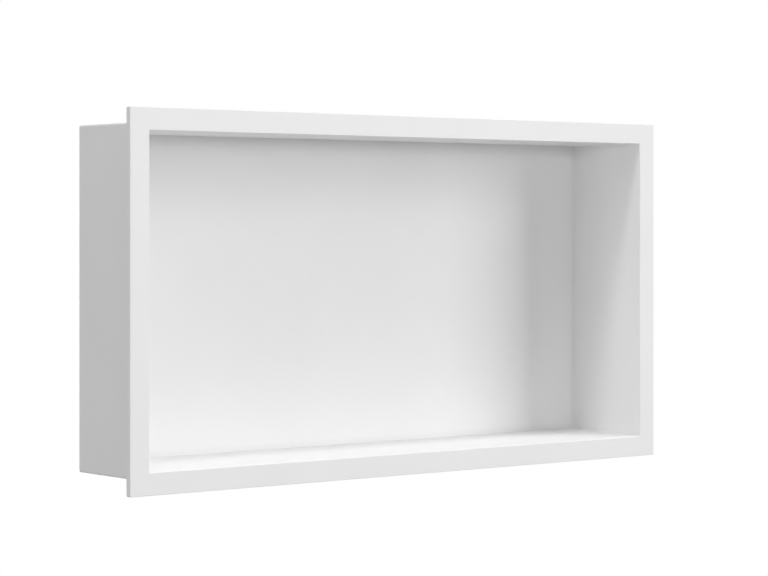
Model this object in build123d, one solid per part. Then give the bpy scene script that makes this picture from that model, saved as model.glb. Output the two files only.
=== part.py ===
from build123d import *
import os

# Shower niche insert: a tray for bottles, moulded in one piece with the frame that trims the tiles.
# X runs across the niche, +Y goes into the wall and +Z is up.
# The origin is the middle of the opening, in the plane of the finished wall.

# Clear opening and depth
opening_width = 600.0
opening_height = 300.0  # at the mouth, from the floor's front edge to the ceiling
niche_depth = 98.0  # from the frame's front face to the back wall
floor_fall = 2.5  # how much higher the floor is at the back wall, so that it drains to the front

# Frame that stands in front of the tiles
frame_border = 20.0  # from the edge of the opening to the frame's outer edge
frame_thickness = 6.0

# Walls of the body that goes into the recess
wall_thickness = 7.0  # sides, ceiling and the front edge of the floor
back_thickness = 7.0

# Rounded edges and corners
frame_corner_radius = 1.5  # the four corners of the frame, seen from the front
front_edge_radius = 0.5  # the frame's outer edge and the edge of the opening
body_corner_radius = 2.0  # the body's long corners
back_edge_radius = 1.5  # the body's edges round its back
niche_corner_radius = 0.5  # all corners inside the niche, which are all but sharp
heel_radius = 1.0  # where the body meets the back of the frame

# Sizes that follow
frame_width = opening_width + 2 * frame_border
frame_height = opening_height + 2 * frame_border
body_width = opening_width + 2 * wall_thickness
body_height = opening_height + 2 * wall_thickness
body_depth = niche_depth + back_thickness - frame_thickness
front_y = -frame_thickness
niche_back_y = front_y + niche_depth
ceiling_z = opening_height / 2
floor_front_z = -opening_height / 2
floor_back_z = floor_front_z + floor_fall


def make_body_and_frame():
    # Plane.XZ faces the viewer, so the frame grows towards the viewer and the body into the wall.
    with BuildPart() as block:
        with BuildSketch(Plane.XZ):
            RectangleRounded(frame_width, frame_height, frame_corner_radius)
        extrude(amount=frame_thickness)
        with BuildSketch(Plane.XZ):
            RectangleRounded(body_width, body_height, body_corner_radius)
        extrude(amount=-body_depth)
    return block.part


def make_niche_space():
    # The side view of the hollow, drawn once and carried across the opening's width.
    with BuildPart() as space:
        with BuildSketch(Plane.YZ):
            with BuildLine():
                Polyline(
                    (front_y, floor_front_z),
                    (niche_back_y, floor_back_z),
                    (niche_back_y, ceiling_z),
                    (front_y, ceiling_z),
                    close=True,
                )
            make_face()
        extrude(amount=opening_width / 2, both=True)
        mouth_edges = space.faces().sort_by(Axis.Y)[0].edges()
        inside_corners = [edge for edge in space.edges() if edge not in mouth_edges]
        fillet(inside_corners, niche_corner_radius)
    return space.part


def round_edges(shell):
    front_face = shell.faces().sort_by(Axis.Y)[0]
    shell = fillet(front_face.edges(), front_edge_radius)
    back_face = shell.faces().sort_by(Axis.Y)[-1]
    shell = fillet(back_face.edges(), back_edge_radius)
    wall_side_of_frame = shell.faces().filter_by(Plane.XZ).sort_by(Axis.Y)[1]
    heel = wall_side_of_frame.inner_wires()[0].edges()
    return fillet(heel, heel_radius)


niche_insert = round_edges(make_body_and_frame() - make_niche_space())

os.makedirs("parts", exist_ok=True)
export_step(niche_insert, "parts/niche_insert.step")
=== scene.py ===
import math

import bmesh
import bpy
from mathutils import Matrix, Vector


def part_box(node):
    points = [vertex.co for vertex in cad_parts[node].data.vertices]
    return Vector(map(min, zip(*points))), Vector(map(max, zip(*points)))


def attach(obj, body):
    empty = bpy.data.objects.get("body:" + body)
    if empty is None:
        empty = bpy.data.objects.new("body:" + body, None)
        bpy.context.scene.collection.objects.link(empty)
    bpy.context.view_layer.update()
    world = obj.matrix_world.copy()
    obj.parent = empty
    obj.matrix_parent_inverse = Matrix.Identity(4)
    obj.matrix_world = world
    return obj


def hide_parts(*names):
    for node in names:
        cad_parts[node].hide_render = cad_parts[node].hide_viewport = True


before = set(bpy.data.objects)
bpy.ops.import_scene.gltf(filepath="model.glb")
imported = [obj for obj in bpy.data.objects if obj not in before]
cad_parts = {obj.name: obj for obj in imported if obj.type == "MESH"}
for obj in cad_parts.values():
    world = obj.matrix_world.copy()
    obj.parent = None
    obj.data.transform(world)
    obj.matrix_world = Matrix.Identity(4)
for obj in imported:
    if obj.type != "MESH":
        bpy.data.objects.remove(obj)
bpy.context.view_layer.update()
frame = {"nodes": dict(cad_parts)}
mm = 0.001
print("frame loaded:", ", ".join(frame["nodes"]))


def linearColour(hexColour):
    # sRGB hex to the linear colour that Blender's sockets take
    channels = [int(hexColour[i:i + 2], 16) / 255 for i in (1, 3, 5)]
    return [c / 12.92 if c <= 0.04045 else ((c + 0.055) / 1.055) ** 2.4 for c in channels] + [1.0]


def addNode(tree, kind, settings=None, inputs=None, links=None):
    # settings are the node's own properties, inputs are socket values, links are socket: (node, output);
    # a socket that shares its name with others on the node goes by its number
    node = tree.nodes.new(kind)
    for name, value in (settings or {}).items():
        setattr(node, name, value)
    for name, value in (inputs or {}).items():
        node.inputs[name].default_value = value
    for name, (source, output) in (links or {}).items():
        tree.links.new(source.outputs[output], node.inputs[name])
    return node


# Sanded mineral-filled acrylic: cast white, then orbitally sanded matt.
# The eye sees an even white with no mirror in it, a faint clouding over a hand's width and a fine grain.
# Along the floor and sides of the niche's back, painted shade greys the white where the creases fall into
# shade.
sandedComposite = {
    "white": "#f1f1f1",
    "cloud": "#ececec",
    "cloudSize": 90 * mm,
    "corner": "#e8e8e8",  # painted shade in the creases along the niche's back
    "grainSize": 1.2 * mm,  # real grit is finer; drawn this coarse so that it shows at all
    "grainHeight": 0.02 * mm,
    "grainBump": 0.12,
    "roughness": (0.68, 0.78),
    "ior": 1.5,
}


def makeSandedComposite(look):
    material = bpy.data.materials.new("sandedComposite")
    material.use_nodes = True
    tree = material.node_tree
    tree.nodes.clear()
    place = addNode(tree, "ShaderNodeTexCoord")
    cloud = addNode(
        tree, "ShaderNodeTexNoise",
        inputs={"Scale": 1 / look["cloudSize"], "Detail": 3.0, "Roughness": 0.5},
        links={"Vector": (place, "Object")},
    )
    grain = addNode(
        tree, "ShaderNodeTexNoise",
        inputs={"Scale": 1 / look["grainSize"], "Detail": 2.0, "Roughness": 0.6},
        links={"Vector": (place, "Object")},
    )
    tone = addNode(
        tree, "ShaderNodeMix",
        settings={"data_type": "RGBA"},
        inputs={6: linearColour(look["white"]), 7: linearColour(look["cloud"])},
        links={"Factor": (cloud, "Fac")},
    )
    sanding = addNode(
        tree, "ShaderNodeMapRange",
        inputs={"To Min": look["roughness"][0], "To Max": look["roughness"][1]},
        links={"Value": (cloud, "Fac")},
    )
    bump = addNode(
        tree, "ShaderNodeBump",
        inputs={"Strength": look["grainBump"], "Distance": look["grainHeight"]},
        links={"Height": (grain, "Fac")},
    )
    # painted shade: the white goes over into the darker corner grey where this attribute is 1, in the
    # creases of the niche's back
    paintedCreaseShade = addNode(tree, "ShaderNodeAttribute", {"attribute_name": "paintedCreaseShade"})
    colour = addNode(
        tree, "ShaderNodeMix",
        settings={"data_type": "RGBA"},
        inputs={7: linearColour(look["corner"])},
        links={"Factor": (paintedCreaseShade, "Fac"), 6: (tone, 2)},
    )
    surface = addNode(
        tree, "ShaderNodeBsdfPrincipled",
        inputs={"IOR": look["ior"]},
        links={"Base Color": (colour, 2), "Roughness": (sanding, "Result"), "Normal": (bump, "Normal")},
    )
    addNode(tree, "ShaderNodeOutputMaterial", links={"Surface": (surface, "BSDF")})
    return material


nicheInsert = {
    "frameBorder": 20 * mm,
    "frameThickness": 6 * mm,
    "wallThickness": 7 * mm,
    "backThickness": 7 * mm,
    "floorFall": 2.5 * mm,  # the floor rises this much to the back wall
    "frameCorner": 1.5 * mm,  # from here to the heel these are radii
    "frontEdge": 0.5 * mm,
    "rearEdge": 0.3 * mm,
    "bodyCorner": 2.0 * mm,
    "backEdge": 1.5 * mm,
    "nicheCorner": 0.5 * mm,
    "heel": 1.0 * mm,  # where the body meets the frame
    "paintedShadeWidth": 6.5 * mm,  # how far the painted shade in the creases reaches over the niche's back
    "cornerSteps": 6,  # faces round each corner, and over each edge
    "edgeSteps": 5,
    "samePoint": 0.02 * mm,  # points closer than this are one
    "flatWeight": 100,  # how strongly the large faces rule the shading, so that they look flat
}


def makeNicheInsert(size, low, high):
    bm = bmesh.new()
    # holds the painted shade for the creases of the niche's back, one value per face corner
    paintedCreaseShade = bm.loops.layers.float.new("paintedCreaseShade")
    wallPlane = low.y + size["frameThickness"]
    nicheBack = high.y - size["backThickness"]
    bodyInset = size["frameBorder"] - size["wallThickness"]

    def outline(y, inset, corner, lift):
        # a face with rounded corners in the plane y, given as the ring of its edges
        known = set(bm.edges)
        left, right = low.x + inset, high.x - inset
        bottom, top = low.z + inset + lift, high.z - inset
        corners = [bm.verts.new((x, y, z))
                   for x, z in ((left, bottom), (right, bottom), (right, top), (left, top))]
        bm.faces.new(corners)
        bmesh.ops.bevel(bm, geom=corners, offset=corner, offset_type="OFFSET",
                        segments=size["cornerSteps"], profile=0.5, affect="VERTICES", material=-1)
        return [e for e in bm.edges if e not in known]

    # the wall's section, from within the niche's back out over the frame and along the body to its back:
    # plane, inset from the frame's outer edge, corner radius, edge radius
    section = [
        # a ring a strip's width inside the niche's back, over which the painted shade fades out
        (nicheBack, size["frameBorder"] + size["paintedShadeWidth"], size["nicheCorner"], 0),
        (nicheBack, size["frameBorder"], size["nicheCorner"], size["nicheCorner"]),
        (low.y, size["frameBorder"], size["nicheCorner"], size["frontEdge"]),
        (low.y, 0, size["frameCorner"], size["frontEdge"]),
        (wallPlane, 0, size["frameCorner"], size["rearEdge"]),
        (wallPlane, bodyInset, size["bodyCorner"], size["heel"]),
        (high.y, bodyInset, size["bodyCorner"], size["backEdge"]),
    ]
    rings = []
    for step, (y, inset, corner, _) in enumerate(section):
        lift = size["floorFall"] if y == nicheBack else 0
        rings.append(outline(step, inset, corner, lift))  # a step apart, because bridging crosses flat pairs
    openFaces = [ring[0].link_faces[0] for ring in rings[1:-1]]
    bmesh.ops.delete(bm, geom=openFaces, context="FACES_ONLY")
    for ring, nextRing in zip(rings, rings[1:]):
        bmesh.ops.bridge_loops(bm, edges=ring + nextRing)
    for ring, (y, _, _, _) in zip(rings, section):
        for vert in {v for e in ring for v in e.verts}:
            vert.co.y = y
    plainBack = {v for e in rings[0] for v in e.verts}
    # bevel cuts to the right side only with the normals in order
    bmesh.ops.recalc_face_normals(bm, faces=bm.faces)
    for ring, (_, _, _, radius) in zip(rings[1:], section[1:]):
        bmesh.ops.bevel(bm, geom=ring, offset=radius, offset_type="OFFSET", segments=size["edgeSteps"],
                        profile=0.5, affect="EDGES", material=-1)
    # the arcs in the niche's back corners end in points
    bmesh.ops.remove_doubles(bm, verts=bm.verts, dist=size["samePoint"])
    bmesh.ops.recalc_face_normals(bm, faces=bm.faces)
    # painted shade: 1 at the edges of the niche's back, 0 on the inner ring
    paintedShadeTop = high.z - size["frameBorder"] - size["paintedShadeWidth"]
    for face in {f for v in plainBack for f in v.link_faces}:
        if face.calc_center_median().z < paintedShadeTop:  # painted shade along the floor and up the sides, none along the ceiling
            for loop in face.loops:
                loop[paintedCreaseShade] = float(loop.vert not in plainBack)
    for face in bm.faces:
        face.smooth = True
    mesh = bpy.data.meshes.new("nicheInsert")
    bm.to_mesh(mesh)
    bm.free()
    piece = bpy.data.objects.new("nicheInsert", mesh)
    bpy.context.scene.collection.objects.link(piece)
    normals = piece.modifiers.new("flat faces stay flat", "WEIGHTED_NORMAL")
    normals.weight = size["flatWeight"]
    return piece


piece = makeNicheInsert(nicheInsert, *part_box("niche_insert"))
piece.data.materials.append(makeSandedComposite(sandedComposite))
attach(piece, "root")
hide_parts("niche_insert")
print("niche insert made:", len(piece.data.polygons), "faces")


camera = {
    "place": Vector((-1.4957, -1.8186, 0.0675)),
    "turn": 38.828,  # degrees to the right of straight at the wall
    "lens": 115.96,  # mm
    "sensor": 36,  # mm across
    "shiftUp": -0.0830,  # the horizon lies above the middle of the picture, with upright lines kept upright
}


def makeCamera(setting):
    data = bpy.data.cameras.new("camera")
    data.lens = setting["lens"]
    data.sensor_width = setting["sensor"]
    data.shift_y = setting["shiftUp"]
    eye = bpy.data.objects.new("camera", data)
    eye.location = setting["place"]
    eye.rotation_euler = (math.radians(90), 0, math.radians(-setting["turn"]))
    bpy.context.scene.collection.objects.link(eye)
    bpy.context.scene.camera = eye


makeCamera(camera)
print("camera placed")


# Plain studio: white all round, a matt white floor and five soft lamps, with a sixth for the back.
studio = {
    "floorDrop": 1.4,  # a niche sits about this far above the shower floor
    "floorRadius": 4.0,
    "floorSides": 96,
    "floorWhite": "#f2f2f2",
    "floorGlow": (0.7, 1.0),  # how much plain white the eye gets under the niche and at the floor's rim
    "glowFrom": 1.0,  # metres from the floor's middle
    "roomLight": 0.264,
    "lamps": {  # degrees to the right and up as seen from the niche, metres, watts
        "keySoftbox": {"azimuth": 49, "elevation": 16, "distance": 6.5, "size": (3.25, 3.9), "power": 240},
        "topBank": {"azimuth": 0, "elevation": 76.7, "distance": 2.3, "size": (3.45, 0.33), "power": 29.0},
        "lowBank": {"azimuth": 0, "elevation": -76, "distance": 1.2, "size": (2.0, 0.2), "power": 1.1},
        "frontFill": {"azimuth": -20, "elevation": 8, "distance": 2.1, "size": (3.5, 0.33), "power": 12.1},
        "leftStrip": {"azimuth": -84, "elevation": 8, "distance": 4.0, "size": (0.34, 3.75), "power": 29.2},
        "rearFill": {"azimuth": 160, "elevation": 2, "distance": 3.0, "size": (2.0, 2.0), "power": 55},
    },
}


def seenRays(tree):
    # 1 for the rays that bring a picture: straight to the camera, mirrored or seen through glass
    path = addNode(tree, "ShaderNodeLightPath")
    seen = (path, "Is Camera Ray")
    for ray in ("Is Glossy Ray", "Is Transmission Ray"):
        either = addNode(tree, "ShaderNodeMath", {"operation": "MAXIMUM"}, links={0: seen, 1: (path, ray)})
        seen = (either, "Value")
    return seen


def makeWorld(setting):
    world = bpy.data.worlds.new("studio")
    bpy.context.scene.world = world
    world.use_nodes = True
    tree = world.node_tree
    tree.nodes.clear()
    level = addNode(tree, "ShaderNodeMapRange",
                    inputs={"To Min": setting["roomLight"], "To Max": 1.0},
                    links={"Value": seenRays(tree)})
    white = addNode(tree, "ShaderNodeBackground", inputs={"Color": (1, 1, 1, 1)},
                    links={"Strength": (level, "Result")})
    addNode(tree, "ShaderNodeOutputWorld", links={"Surface": (white, "Background")})


def makeFloor(setting):
    # matt white paint: takes the shadow, and goes over into the white background towards its rim
    material = bpy.data.materials.new("mattFloorPaint")
    material.use_nodes = True
    tree = material.node_tree
    tree.nodes.clear()
    place = addNode(tree, "ShaderNodeTexCoord")
    fromMiddle = addNode(tree, "ShaderNodeVectorMath", {"operation": "LENGTH"}, links={0: (place, "Object")})
    glow = addNode(
        tree, "ShaderNodeMapRange",
        inputs={"From Min": setting["glowFrom"], "From Max": setting["floorRadius"],
                "To Min": setting["floorGlow"][0], "To Max": setting["floorGlow"][1]},
        links={"Value": (fromMiddle, "Value")},
    )
    share = addNode(tree, "ShaderNodeMath", {"operation": "MULTIPLY"},
                    links={0: (glow, "Result"), 1: seenRays(tree)})
    paint = addNode(tree, "ShaderNodeBsdfDiffuse", inputs={"Color": linearColour(setting["floorWhite"])})
    white = addNode(tree, "ShaderNodeEmission", inputs={"Color": (1, 1, 1, 1), "Strength": 1.0})
    mix = addNode(tree, "ShaderNodeMixShader",
                  links={"Fac": (share, "Value"), 1: (paint, "BSDF"), 2: (white, "Emission")})
    addNode(tree, "ShaderNodeOutputMaterial", links={"Surface": (mix, "Shader")})

    bm = bmesh.new()
    bmesh.ops.create_circle(bm, cap_ends=True, segments=setting["floorSides"],
                            radius=setting["floorRadius"])
    mesh = bpy.data.meshes.new("floor")
    bm.to_mesh(mesh)
    bm.free()
    mesh.materials.append(material)
    floor = bpy.data.objects.new("floor", mesh)
    floor.location.z = -setting["floorDrop"]
    floor.visible_diffuse = False  # it shows the shadow, and only the lamps and the room light the niche
    bpy.context.scene.collection.objects.link(floor)


def makeLamps(lamps):
    for name, lamp in lamps.items():
        data = bpy.data.lights.new(name, "AREA")
        data.shape = "RECTANGLE"
        data.size, data.size_y = lamp["size"]
        data.energy = lamp["power"]
        side, up = math.radians(lamp["azimuth"]), math.radians(lamp["elevation"])
        way = Vector((math.sin(side) * math.cos(up), -math.cos(side) * math.cos(up), math.sin(up)))
        light = bpy.data.objects.new(name, data)
        light.location = way * lamp["distance"]
        light.rotation_euler = way.to_track_quat("Z", "Y").to_euler()
        light.visible_camera = False
        bpy.context.scene.collection.objects.link(light)


makeWorld(studio)
makeFloor(studio)
makeLamps(studio["lamps"])
bpy.context.scene.view_settings.view_transform = "Standard"
print("studio lit:", ", ".join(studio["lamps"]))
